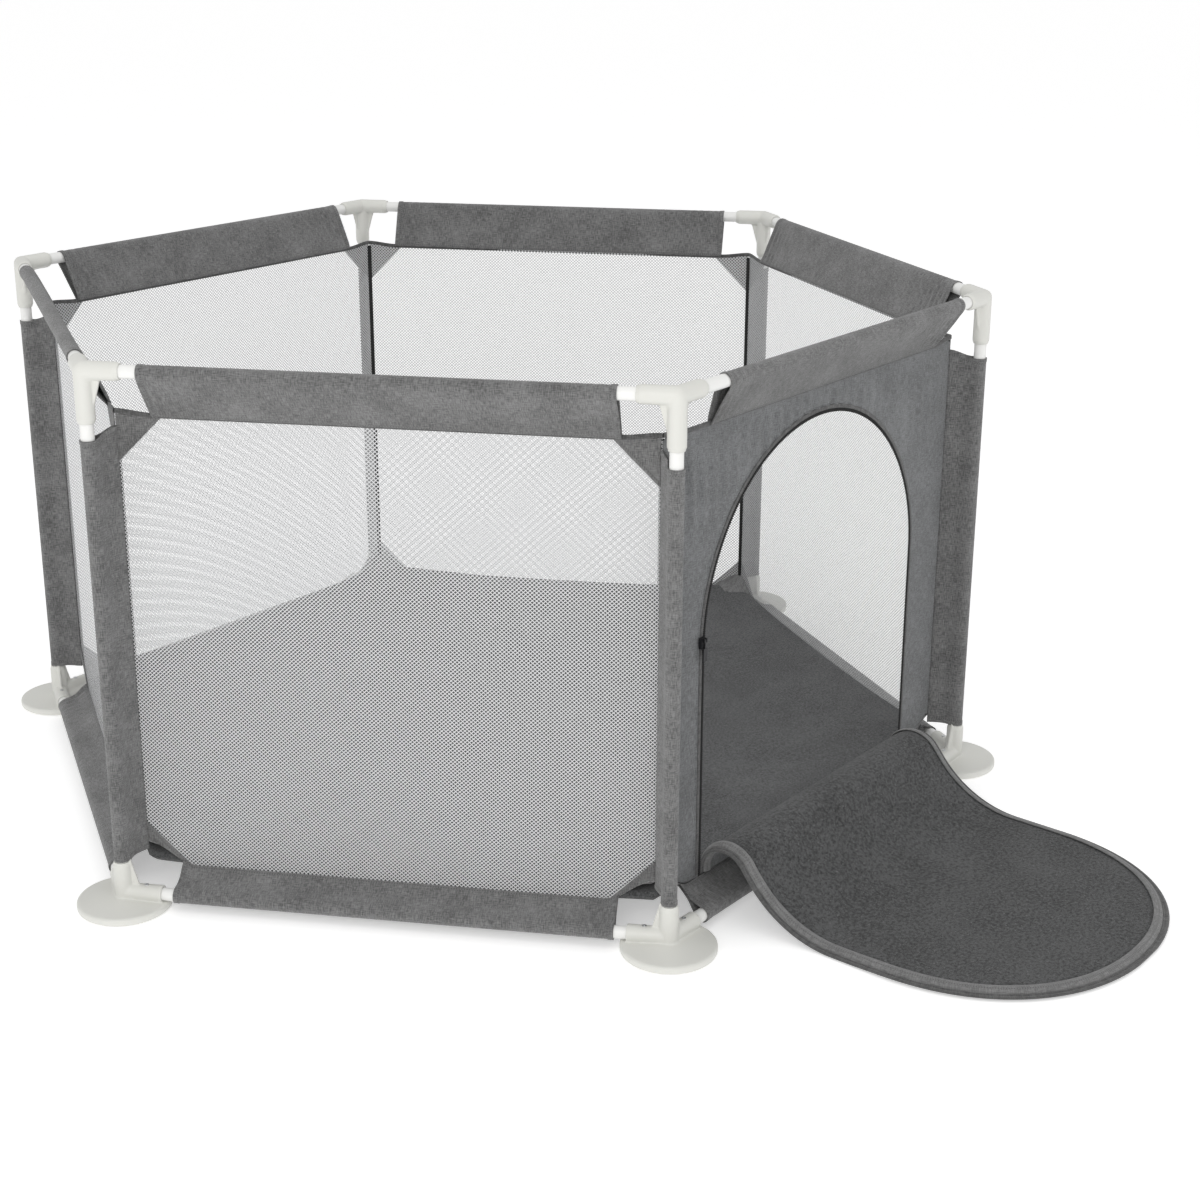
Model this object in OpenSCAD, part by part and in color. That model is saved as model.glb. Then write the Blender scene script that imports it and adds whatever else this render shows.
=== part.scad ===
// Hexagonal baby playpen: white tube frame, cloth and mesh walls hung inside it,
// a padded floor and an arched door flap that lies folded out on the ground.
// The door faces -Y. The origin is on the ground, at the middle of the footprint's box.

/* [Frame] */
// Distance from the middle of the pen to each post's axis
hex_r = 670; // [600:5:760]
// Height of the top rails' axis
rail_z = 672; // [620:1:760]
// Outer diameter of every tube
tube_d = 16; // [14:0.5:18]
// Wall of every tube
tube_wall = 0.8; // [0.6:0.1:2]
// Clearance between a tube and what goes round it
tube_gap = 0.15; // [0.1:0.05:0.3]

/* [Corner connectors] */
// Outer diameter of the connectors' sockets
socket_d = 22; // [21:0.5:24]
// Reach of each level socket from the post's axis
arm_reach = 45; // [40:1:55]
// Reach of the downward socket from the rails' axis
drop_reach = 62; // [50:1:70]
// Length of the stepped lip at each socket's mouth
lip_len = 4; // [2:0.5:8]

/* [Feet] */
// Diameter of each foot's disc
foot_d = 116; // [100:1:130]
// Thickness of the disc at its rim
foot_rim = 10; // [8:0.5:14]
// How far the disc's middle rises above its rim
foot_dome = 3; // [1:0.5:6]
// Height of the bottom rails' axis
low_rail_z = 19; // [19:0.5:24]
// Height of the foot's upright socket
foot_socket_z = 61; // [50:1:80]
// Diameter of the foot's upright socket
foot_socket_d = 23; // [22:0.5:26]
// Thickness of the rubber grip pad
pad_t = 2; // [1:0.5:4]

/* [Cloth walls] */
// Distance from each post's axis in to the enclosure's corner seam
seam_inset = 40; // [30:1:50]
// Height of the enclosure's top seam
seam_top_z = 615; // [600:1:630]
// Height of the enclosure's bottom edge between the corners
hem_z = 40; // [36:1:50]
// Height of the enclosure's bottom edge at the corners
hem_corner_z = 71; // [60:1:90]
// Thickness of a wall panel
panel_t = 2; // [1.5:0.1:3]
// Thickness of the sleeves' cloth
cloth_t = 1.2; // [1:0.1:2]
// Distance from a post's axis to the rail sleeves' ends
sleeve_inset = 61; // [55:1:70]
// Length of each leg of a corner gusset
gusset = 58; // [40:1:70]

/* [Door] */
// Radius of the arch at the top of the door opening
arch_r = 235; // [200:1:250]
// Height of the arch's centre
arch_z = 345; // [320:1:350]
// Gap between the flap's edge and the opening's edge
zip_gap = 5; // [4:0.5:8]
// Thickness of the padded flap
flap_t = 8; // [6:0.5:10]
// How far the flap's tip lies outside the front bottom rail
flap_reach = 446; // [440:1:460]
// Width of the binding round the flap's edge
binding_w = 20; // [12:1:26]

/* [Floor] */
// Height of the floor cover's top face
floor_top_z = 45; // [40:1:52]
// Thickness of the floor cover with its foam boards
floor_t = 12; // [9:0.5:16]
// Distance between the floor's fold seams
fold_pitch = 273; // [250:1:300]

/* [Hidden] */
$fn = 48;
corner_names = ["front_left", "front_right", "right", "back_right", "back_left", "left"];
side_names = ["front", "right_front", "right_back", "back", "left_back", "left_front"];
mesh_sides = [1:5];

rail_apothem = hex_r * cos(30);
seam_r = hex_r - seam_inset;
seam_apothem = seam_r * cos(30);
side_len = hex_r;
// The footprint's box runs from the flap's tip to the back feet, and the origin halves it.
pen_y = (flap_reach - foot_d / 2) / 2;

bore_r = tube_d / 2 + tube_gap;
tube_r = tube_d / 2;
socket_r = socket_d / 2;
lip_step = 1.2; // how far a socket's lip stands back from its body
tube_end = 19; // how far a tube's end stays from the corner's axis
bite = 1; // how far a joined solid or a cut runs past the face it meets
fin_t = 4;
fin_out = 9;
fin_len = 34;

foot_base_z = pad_t / 2;
foot_edge = 3; // rounding of the disc's rim
foot_cut = 8; // the disc's straight edges, measured from the bottom rails' axes
pad_inset = 8; // from the disc's rim in to the pad's
pad_cut = 2; // the pad's straight edges, measured as the disc's
pad_fit = 0.2;
low_arm_wall = 3;
low_arm_d = tube_d + 2 * low_arm_wall;
low_arm_reach = 50;
screw_r = 2.6;
screw_out = 29;
screw_head = 1.6;
screw_seat = 0.1; // the head's clearance over its seat
key_r = 1.2; // hexagon in the screw's head
key_z = 0.9;

loop_r = tube_r + 0.4; // inside of a sleeve's loop
sleeve_over = 2; // the top sleeves end this far above the top seam
sleeve_rise = rail_z - seam_top_z - sleeve_over;
low_rise = hem_z - low_rail_z;
wall_run = rail_apothem - seam_apothem; // from a rail's axis in to the wall
sleeve_tilt = atan2(sleeve_rise, wall_run);
sleeve_drop = norm([wall_run, sleeve_rise]) - 1;
low_tilt = atan2(low_rise, wall_run);
low_drop = norm([wall_run, low_rise]) - 3;
sleeve_seam = 12; // width of the seam that closes a rail sleeve
pocket_tip = 0.15; // half the loop's opening where it meets that seam
post_sleeve_z = [foot_socket_z + 1, rail_z - drop_reach - 10];
web_half = cloth_t + 0.1;
post_web = seam_inset - 2.5; // from a post's axis in to its sleeve's seam
post_wedge = 24; // where a post sleeve's two layers come together
web_lap = 2;

panel_gap = 0.4; // between neighbouring panels at a corner seam
panel_over = 2; // past the corner seam, cut back to the mitre
hem_run = 65; // how far from the corner the bottom hem starts to rise
knee_part = 0.7; // where the hem's knee lies along that run
knee_rise = 4;
gusset_t = 0.8;
gusset_lift = 0.3; // the gussets' clearance over the mesh
gusset_in = 3.5; // from the corner seam in to a gusset's edge
low_gusset = gusset + 10; // leg of the bottom gussets

sill = 4; // height of the door's sill over the hem
hinge_lap = 2; // height of the flap's fixed edge over the sill
flap_half = arch_r - zip_gap;
flap_z = 1; // underside of the flap above the ground
flap_mid_z = flap_z + flap_t / 2;
slope = 52; // steepest slope of the flap on its way down
hump_r = 36;
hump_z = 52;
land_r = 150;
hump_y = -seam_apothem - hump_r; // middle of the hump, measured from the pen's middle
crest_exit = [hump_y - hump_r * sin(slope), hump_z + hump_r * cos(slope)];
slope_len = (crest_exit[1] - flap_mid_z - land_r * (1 - cos(slope))) / sin(slope);
slope_end = crest_exit + slope_len * [-cos(slope), -sin(slope)];
land_y = slope_end[0] - land_r * sin(slope);
flap_tip_y = -rail_apothem - flap_reach;
bend_gap = 0.5; // between the flap's bend and its flat part
lap = 0.01;
binding_edge = 4;
binding_skin = 0.8;
binding_fit = 0.3; // round the flap's edge
binding_lift = 0.2; // over and under the flap

track_r = arch_r + 4;
track_w = 6;
track_t = 1.4;
track_lift = 0.1; // the track's clearance over the door panel
track_foot = 12; // height of the track's ends over the hem
slider_w = 9;
slider_l = 13;
slider_t = 4.4;
slider_lift = 0.3;
door_face_y = -seam_apothem - panel_t / 2;
// The slider is parked where the arch meets the straight left edge.
slider_y = door_face_y - track_lift - track_t - slider_lift;
ear_t = 1.2;
ear_x = 1.4; // from the slider's middle to an ear's inner face
ear_out = 3;
ear_h = 5;
pull_pin_r = 0.9;
pin_out = 1.6; // the pin's axis, out from the slider's face
pin_len = 4.6;
pin_fit = 0.05;
pull_pin_y = slider_y - slider_t - pin_out;
pull_len = 26;
pull_t = 1.8;
pull_stem_w = 2;
pull_tab = [7, 16]; // width and length of the tab's wide end

mat_edge = 8; // width of the floor cover's sewn edge
fold_seam = 10; // width of each sewn fold
mat_skin = 1.5;
foam_fit = 0.4; // round each foam board
foam_lift = 0.3; // over and under it

// ---- placing ----

module in_pen() {
    translate([0, pen_y, 0]) children();
}

// A corner's own frame: the post's axis at the origin, +X pointing out of the pen.
module at_corner(i) {
    in_pen() rotate(240 + 60 * i) translate([hex_r, 0, 0]) children();
}

// A side's own frame: +X along the side, -Y pointing out of the pen.
module at_side(i) {
    in_pen() rotate(60 * i) children();
}

// Draws a section, given as [y, z] in a side's frame, along the side for the length len.
module along_side(len) {
    translate([-len / 2, 0, 0]) rotate([90, 0, 90]) linear_extrude(len) children();
}

// Points round an arc about c, from one angle to another in n steps.
function arc(c, r, from, to, n) = [
    for (k = [0:n]) let (a = from + (to - from) * k / n) c + r * [cos(a), sin(a)]
];

// ---- tubes ----

module tube(len) {
    color("white") difference() {
        cylinder(r = tube_r, h = len);
        translate([0, 0, -bite]) cylinder(r = tube_r - tube_wall, h = len + 2 * bite);
    }
}

module post(i) {
    at_corner(i) translate([0, 0, low_rail_z + tube_end])
        tube(rail_z - low_rail_z - 2 * tube_end);
}

module rail(i, z) {
    len = side_len - 2 * tube_end;
    at_side(i) translate([-len / 2, -rail_apothem, z]) rotate([0, 90, 0]) tube(len);
}

// ---- top corner connector ----

// A socket along +Z: its body, then a narrower lip at the mouth.
module socket_body(r, reach) {
    cylinder(r = r, h = reach - lip_len);
    cylinder(r = r - lip_step, h = reach);
}

module toward_rails() {
    for (turn = [120, -120]) rotate([0, 90, turn]) children();
}

// The fin in the angle between a level socket and the upright one, which runs towards -Z.
module angle_fin(upright_r) {
    for (turn = [120, -120])
        rotate(turn) translate([0, fin_t / 2, 0]) rotate([90, 0, 0]) linear_extrude(fin_t)
            polygon([
                [0, 0], [upright_r + fin_out, -socket_r + bite],
                [upright_r - bite, -socket_r - fin_len], [0, -socket_r]
            ]);
}

module corner_connector(i) {
    color("ivory") at_corner(i) translate([0, 0, rail_z]) difference() {
        union() {
            sphere(r = socket_r);
            toward_rails() socket_body(socket_r, arm_reach);
            mirror([0, 0, 1]) socket_body(socket_r, drop_reach);
            angle_fin(socket_r);
        }
        toward_rails() translate([0, 0, tube_end - bite]) cylinder(r = bore_r, h = arm_reach);
        mirror([0, 0, 1]) translate([0, 0, tube_end - bite]) cylinder(r = bore_r, h = drop_reach);
    }
}

// ---- foot ----

// The wedge between the two rail sockets, from a line beside their axes inwards.
module between_rails(beside, z0, z1) {
    reach = foot_d;
    translate([-beside / sin(60), 0, z0]) linear_extrude(z1 - z0)
        polygon([[0, 0], [-reach * cos(60), reach * sin(60)], [-reach * cos(60), -reach * sin(60)]]);
}

// The disc: a rounded rim and a low cone up to the socket, turned about the post.
module foot_disc() {
    rim = foot_d / 2;
    edge = foot_edge;
    rotate_extrude($fn = 96) union() {
        polygon([
            [0, 0], [rim - edge, 0], [rim - edge, foot_rim], [foot_socket_d / 2, foot_rim + foot_dome],
            [0, foot_rim + foot_dome]
        ]);
        translate([rim - edge, edge]) square([edge, foot_rim - 2 * edge]);
        translate([rim - edge, edge]) circle(r = edge);
        translate([rim - edge, foot_rim - edge]) circle(r = edge);
    }
}

module foot(i) {
    color("ivory") at_corner(i) difference() {
        union() {
            difference() {
                translate([0, 0, foot_base_z]) foot_disc();
                between_rails(foot_cut, -bite, low_rail_z);
            }
            cylinder(r = foot_socket_d / 2 - lip_step, h = foot_socket_z);
            translate([0, 0, foot_base_z])
                cylinder(r = foot_socket_d / 2, h = foot_socket_z - lip_len - foot_base_z);
            translate([0, 0, low_rail_z]) mirror([0, 0, 1]) angle_fin(foot_socket_d / 2);
            translate([0, 0, low_rail_z]) toward_rails() cylinder(r = low_arm_d / 2, h = low_arm_reach);
        }
        grip_pad(pad_fit, pad_t + pad_fit / 2);
        translate([0, 0, low_rail_z + tube_end - bite]) cylinder(r = bore_r, h = foot_socket_z);
        translate([0, 0, low_rail_z]) toward_rails() translate([0, 0, tube_end - bite])
            cylinder(r = bore_r, h = low_arm_reach);
        foot_screw_places() cylinder(r = screw_r + pad_fit, h = screw_head + bite, $fn = 24);
    }
}

// The seat of each screw: on top of a rail socket, pointing up.
module foot_screw_places() {
    for (turn = [120, -120])
        rotate(turn) translate([screw_out, 0, low_rail_z + low_arm_d / 2 - bite]) children();
}

module foot_screws() {
    color("silver") for (i = [0:5]) at_corner(i) foot_screw_places() difference() {
        translate([0, 0, screw_seat]) cylinder(r = screw_r, h = screw_head, $fn = 24);
        translate([0, 0, key_z]) cylinder(r = key_r, h = screw_head, $fn = 6);
    }
}

module grip_pad(grow, height) {
    difference() {
        cylinder(r = foot_d / 2 - pad_inset + grow, h = height, $fn = 96);
        between_rails(pad_cut + grow, -bite, height + bite);
    }
}

module foot_grip_pads() {
    color("dimgray") for (i = [0:5]) at_corner(i) grip_pad(0, pad_t);
}

// ---- sleeves ----

// The section of a cloth loop round a tube with its two layers closing to a seam at distance len.
module sleeve_section(len) {
    out_r = loop_r + cloth_t;
    difference() {
        wedge_section(out_r, len, web_half);
        wedge_section(loop_r, len - sleeve_seam, pocket_tip);
    }
}

// A round end of radius r at the origin, with straight sides to a tip of half width half_w.
module wedge_section(r, len, half_w) {
    lean = asin((r - half_w) / len);
    polygon(concat(arc([0, 0], r, 90 - lean, 270 + lean, 24), [[len, -half_w], [len, half_w]]));
}

module rail_sleeve(i, z, tilt, drop) {
    color("gray") at_side(i) along_side(side_len - 2 * sleeve_inset)
        translate([-rail_apothem, z]) rotate(tilt) sleeve_section(drop);
}

module top_sleeve(i) {
    rail_sleeve(i, rail_z, -sleeve_tilt, sleeve_drop);
}

module bottom_sleeve(i) {
    rail_sleeve(i, low_rail_z, low_tilt, low_drop);
}

module post_sleeves() {
    color("gray") for (i = [0:5]) at_corner(i)
        translate([0, 0, post_sleeve_z[0]]) linear_extrude(post_sleeve_z[1] - post_sleeve_z[0])
            rotate(180) union() {
                difference() {
                    wedge_section(loop_r + cloth_t, post_wedge, web_half);
                    circle(r = loop_r);
                }
                translate([post_wedge - web_lap, -web_half])
                    square([post_web - post_wedge + web_lap, 2 * web_half]);
            }
}

// ---- wall panels ----

// A panel's outline, seen from outside: square at the top, its hem rising at both bottom corners.
module panel_outline() {
    half = seam_r / 2 + panel_over;
    knee = half - hem_run * knee_part;
    flat_half = half - hem_run;
    polygon([
        [-half, seam_top_z], [-half, hem_corner_z], [-knee, hem_z + knee_rise], [-flat_half, hem_z],
        [flat_half, hem_z], [knee, hem_z + knee_rise], [half, hem_corner_z], [half, seam_top_z]
    ]);
}

// The flat plate between two corner seams, with mitred ends.
module panel_plate() {
    out_y = seam_apothem + panel_t / 2;
    in_y = seam_apothem - panel_t / 2;
    out_x = out_y * tan(30) - panel_gap;
    in_x = in_y * tan(30) - panel_gap;
    linear_extrude(rail_z)
        polygon([[-out_x, -out_y], [out_x, -out_y], [in_x, -in_y], [-in_x, -in_y]]);
}

// Stands a flat outline up in a side's wall plane, from distance out_y inwards.
module stand_up(out_y, thick) {
    translate([0, -out_y + thick, 0]) rotate([90, 0, 0]) linear_extrude(thick) children();
}

module wall_panel() {
    intersection() {
        panel_plate();
        stand_up(seam_apothem + panel_t, 2 * panel_t) panel_outline();
    }
}

module mesh_panel(i) {
    color("whitesmoke") at_side(i) wall_panel();
}

// The corner of cloth sewn over the mesh, with its right angle at the origin.
module gusset_outline(s) {
    polygon([[0, 0], [s, 0], [0, s]]);
}

module corner_gussets() {
    half = seam_r / 2 - gusset_in;
    color("gray") for (i = mesh_sides) at_side(i)
        stand_up(seam_apothem + panel_t / 2 + gusset_lift + gusset_t, gusset_t)
            for (flip = [0, 1]) mirror([flip, 0]) {
                translate([-half, seam_top_z - bite]) mirror([0, 1]) gusset_outline(gusset);
                intersection() {
                    translate([-half, hem_z]) gusset_outline(low_gusset);
                    panel_outline();
                }
            }
}

// ---- door ----

// The door opening: straight sides up to the arch's centre, then half a circle.
module door_outline(grow) {
    translate([0, arch_z]) circle(r = arch_r + grow, $fn = 120);
    translate([-arch_r - grow, hem_z + sill])
        square([2 * (arch_r + grow), arch_z - hem_z - sill]);
}

module door_panel() {
    color("slategray") at_side(0) difference() {
        wall_panel();
        stand_up(seam_apothem + panel_t, 2 * panel_t) door_outline(0);
    }
}

// The zip's fixed half: a narrow strip on the outer face, along both sides and over the arch.
module zip_track() {
    color("black") at_side(0) stand_up(-door_face_y + track_lift + track_t, track_t)
        difference() {
            door_outline(track_r + track_w / 2 - arch_r);
            door_outline(track_r - track_w / 2 - arch_r);
            translate([-hex_r, 0]) square([2 * hex_r, hem_z + track_foot]);
        }
}

module zip_slider() {
    color("dimgray") in_pen() translate([-track_r, slider_y, arch_z]) {
        translate([-slider_w / 2, -slider_t, 0]) cube([slider_w, slider_t, slider_l]);
        // Two ears that carry the pull tab's pin.
        for (x = [-ear_x - ear_t, ear_x]) translate([x, -slider_t, slider_l - ear_h]) difference() {
            translate([0, -ear_out, 0]) cube([ear_t, ear_out, ear_h]);
            translate([-bite, -pin_out, ear_h / 2]) rotate([0, 90, 0])
                cylinder(r = pull_pin_r + pin_fit, h = ear_t + 2 * bite, $fn = 24);
        }
    }
}

// The pull tab hangs from its pin between the slider's ears.
module zip_pull() {
    pin_z = arch_z + slider_l - ear_h / 2;
    color("dimgray") in_pen() translate([-track_r, pull_pin_y, pin_z]) {
        rotate([0, 90, 0]) cylinder(r = pull_pin_r, h = pin_len, center = true, $fn = 24);
        translate([-pull_stem_w / 2, -pull_t / 2, -pull_len]) cube([pull_stem_w, pull_t, pull_len]);
        translate([-pull_tab[0] / 2, -pull_t / 2, -pull_len]) cube([pull_tab[0], pull_t, pull_tab[1]]);
    }
}

// One face of the flap's bend at distance off from its middle line, from the sill to the ground.
function bend_face(off) = concat(
    [[hump_y + hump_r + off, hem_z + sill + hinge_lap]],
    arc([hump_y, hump_z], hump_r + off, 0, 90 + slope, 12),
    arc([land_y, flap_mid_z + land_r], land_r - off, 270 + slope, 270, 12)
);

function reversed(list) = [for (k = [len(list) - 1:-1:0]) list[k]];

// The flap where it climbs out of the doorway, over the front bottom rail and down.
module door_flap_bend() {
    color("dimgray") at_side(0) along_side(2 * flap_half)
        polygon(concat(bend_face(flap_t / 2), reversed(bend_face(-flap_t / 2))));
}

// The flat outline of the flap on the ground, drawn inset from its edge: straight sides, round tip.
module flap_outline(inset) {
    half = flap_half - inset;
    round_y = flap_tip_y + flap_half;
    translate([0, round_y]) intersection() {
        circle(r = half, $fn = 120);
        translate([-half, -half]) square([2 * half, half]);
    }
    translate([-half, round_y - lap]) square([2 * half, land_y - bend_gap - round_y + lap]);
}

module door_flap() {
    color("dimgray") in_pen() translate([0, 0, flap_z])
        linear_extrude(flap_t) flap_outline(binding_edge + binding_fit);
}

// The binding folds round the flap's edge: a channel, open towards the middle.
module flap_binding() {
    inner_t = flap_t + 2 * binding_lift;
    outer_t = inner_t + 2 * binding_skin;
    color("gray") in_pen() translate([0, 0, flap_z - binding_skin - binding_lift]) difference() {
        linear_extrude(outer_t) flap_outline(0);
        translate([0, 0, binding_skin]) linear_extrude(inner_t) flap_outline(binding_edge);
        translate([0, 0, -bite]) linear_extrude(outer_t + 2 * bite) flap_outline(binding_w);
    }
}

// ---- floor ----

module floor_hexagon(inset) {
    circle(r = seam_r - (panel_t / 2 + inset) / cos(30), $fn = 6);
}

// Four strips between the fold seams, kept apart by gap.
module floor_strips(gap) {
    for (k = [-2:1]) translate([-hex_r, k * fold_pitch + gap / 2]) square([2 * hex_r, fold_pitch - gap]);
}

module floor_mat() {
    color("gray") in_pen() translate([0, 0, floor_top_z - floor_t]) difference() {
        linear_extrude(floor_t) floor_hexagon(panel_gap);
        translate([0, 0, mat_skin]) linear_extrude(floor_t - 2 * mat_skin) intersection() {
            floor_hexagon(mat_edge);
            floor_strips(fold_seam);
        }
    }
}

module mat_foam_boards() {
    base = mat_skin + foam_lift;
    color("lightyellow") in_pen() translate([0, 0, floor_top_z - floor_t + base])
        linear_extrude(floor_t - 2 * base) intersection() {
            floor_hexagon(mat_edge + foam_fit);
            floor_strips(fold_seam + 2 * foam_fit);
        }
}

// ---- the sub-parts ----

for (i = [0:5]) {
    foot(i);
    corner_connector(i);
    post(i);
    rail(i, rail_z);
    rail(i, low_rail_z);
    top_sleeve(i);
    bottom_sleeve(i);
}
for (i = mesh_sides) {
    mesh_panel(i);
}
post_sleeves();
corner_gussets();
door_panel();
floor_mat();
mat_foam_boards();
foot_screws();
foot_grip_pads();
door_flap_bend();
door_flap();
flap_binding();
zip_track();
zip_slider();
zip_pull();
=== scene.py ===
import math

import bmesh
import bpy
import numpy as np
from mathutils import Matrix, Vector


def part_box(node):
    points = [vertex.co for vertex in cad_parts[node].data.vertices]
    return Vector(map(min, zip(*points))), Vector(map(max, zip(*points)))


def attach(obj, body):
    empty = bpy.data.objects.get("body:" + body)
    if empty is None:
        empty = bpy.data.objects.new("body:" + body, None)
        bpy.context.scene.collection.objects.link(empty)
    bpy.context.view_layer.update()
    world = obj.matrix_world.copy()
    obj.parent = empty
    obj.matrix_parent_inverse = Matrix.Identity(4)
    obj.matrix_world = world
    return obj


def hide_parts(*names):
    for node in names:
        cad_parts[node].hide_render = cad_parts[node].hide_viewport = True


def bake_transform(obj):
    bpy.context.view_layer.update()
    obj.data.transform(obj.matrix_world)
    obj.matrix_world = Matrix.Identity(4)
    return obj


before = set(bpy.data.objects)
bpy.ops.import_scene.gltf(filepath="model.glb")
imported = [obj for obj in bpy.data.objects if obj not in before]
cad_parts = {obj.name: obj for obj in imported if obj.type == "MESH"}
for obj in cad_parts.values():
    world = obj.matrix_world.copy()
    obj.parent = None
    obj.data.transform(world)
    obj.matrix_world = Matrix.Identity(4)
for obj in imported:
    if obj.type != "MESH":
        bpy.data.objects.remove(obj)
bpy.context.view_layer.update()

sideNames = ["front", "right_front", "right_back", "back", "left_back", "left_front"]
cornerNames = ["front_left", "front_right", "right", "back_right", "back_left", "left"]


# ---------- places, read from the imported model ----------

def middle(node):
    low, high = (np.array(p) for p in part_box(node))
    return (low + high) / 2


def lowHigh(node, axis):
    low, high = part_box(node)
    return low[axis], high[axis]


penMiddle = np.array([0.0, middle("post_right")[1], 0.0])
hexRadius = middle("post_right")[0]
railDistance = penMiddle[1] - middle("top_rail_front")[1]
topRailZ = middle("top_rail_front")[2]
lowRailZ = middle("bottom_rail_front")[2]
tubeRadius = (lowHigh("top_rail_front", 2)[1] - lowHigh("top_rail_front", 2)[0]) / 2
wallDistance = penMiddle[1] - middle("door_panel")[1]
wallHalf = wallDistance * math.tan(math.pi / 6)
seamInset = hexRadius - wallDistance / math.cos(math.pi / 6)
wallTop = lowHigh("door_panel", 2)[1]
sleeveHalf = lowHigh("top_sleeve_front", 0)[1]
postSleeveZ = lowHigh("post_sleeves", 2)
flapHalf = lowHigh("flap_binding", 0)[1]
flapTipY = lowHigh("flap_binding", 1)[0] - penMiddle[1]
flapZ = middle("door_flap")[2]
landY = lowHigh("door_flap_bend", 1)[0] - penMiddle[1]


def onSide(points, i):
    # Turns points from a side's own frame (x along it, -y outwards) to side i of the pen.
    turn = math.radians(60 * i)
    c, s = math.cos(turn), math.sin(turn)
    x, y, z = points[..., 0], points[..., 1], points[..., 2]
    return np.stack([x * c - y * s, x * s + y * c, z], axis=-1) + penMiddle


def onCorner(points, i):
    # Turns points from a corner's own frame (post at the origin, x outwards) to corner i.
    turn = math.radians(240 + 60 * i)
    c, s = math.cos(turn), math.sin(turn)
    x, y, z = points[..., 0] + hexRadius, points[..., 1], points[..., 2]
    return np.stack([x * c - y * s, x * s + y * c, z], axis=-1) + penMiddle


# ---------- camera, light and floor ----------

cameraSettings = {
    "stands": (-1.9886, -1.6171, 1.2040),
    "yaw": 51.046, "pitchDown": 18.647, "roll": 0.217,
    "lens": 59.62, "sensor": 36, "shiftY": -0.05,
}


def setCamera(c):
    data = bpy.data.cameras.new("camera")
    data.lens = c["lens"]
    data.sensor_width = c["sensor"]
    data.shift_y = c["shiftY"]
    cam = bpy.data.objects.new("camera", data)
    yaw = Matrix.Rotation(-math.radians(c["yaw"]), 4, "Z")
    pitch = Matrix.Rotation(math.radians(90 - c["pitchDown"]), 4, "X")
    roll = Matrix.Rotation(math.radians(c["roll"]), 4, "Z")
    cam.matrix_world = Matrix.Translation(c["stands"]) @ yaw @ pitch @ roll
    bpy.context.scene.collection.objects.link(cam)
    bpy.context.scene.camera = cam


lightSettings = {
    "aim": (0, 0.1, 0.3), "skyStrength": 0.70,
    # name: (place, size, power, colour)
    "lamps": {
        "overhead": ((-0.3, -0.2, 3.4), 3.6, 16, (1.0, 1.0, 1.0)),
        "leftFront": ((-3.4, -1.8, 2.0), 2.4, 40, (1.0, 0.99, 0.97)),
        "rightFront": ((2.6, -3.0, 1.8), 2.6, 5, (0.95, 0.97, 1.0)),
    },
}


def setLights(look):
    for name, (place, size, power, colour) in look["lamps"].items():
        data = bpy.data.lights.new(name, "AREA")
        data.shape = "DISK"
        data.size = size
        data.energy = power
        data.color = colour
        lamp = bpy.data.objects.new(name, data)
        lamp.location = place
        aim = Vector(np.array(look["aim"]) - np.array(place))
        lamp.rotation_euler = aim.to_track_quat("-Z", "Y").to_euler()
        bpy.context.scene.collection.objects.link(lamp)
    world = bpy.data.worlds.new("world")
    world.use_nodes = True
    sky = world.node_tree.nodes["Background"]
    sky.inputs["Color"].default_value = (1, 1, 1, 1)
    sky.inputs["Strength"].default_value = look["skyStrength"]
    bpy.context.scene.world = world


# ---------- materials ----------

class Wire:
    # One value in a material's node tree. Sums and products of wires add Math nodes.
    def __init__(self, paint, socket):
        self.paint, self.socket = paint, socket

    def math(self, operation, *values):
        return self.paint.node("ShaderNodeMath", {"operation": operation}, dict(enumerate(values)))

    def __add__(self, other):
        return self.math("ADD", self, other)

    def __sub__(self, other):
        return self.math("SUBTRACT", self, other)

    def __rsub__(self, other):
        return self.math("SUBTRACT", other, self)

    def __mul__(self, other):
        return self.math("MULTIPLY", self, other)

    def __truediv__(self, other):
        return self.math("DIVIDE", self, other)

    def __abs__(self):
        return self.math("ABSOLUTE", self)

    def sine(self):
        return self.math("SINE", self)

    def fraction(self):
        return self.math("FRACT", self)

    def between(self, low, high):
        # 0 below low, 1 above high, and a smooth step from one to the other.
        return self.paint.node("ShaderNodeMapRange", {"interpolation_type": "SMOOTHSTEP"},
                               {0: self, 1: low, 2: high, 3: 0.0, 4: 1.0})


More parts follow.
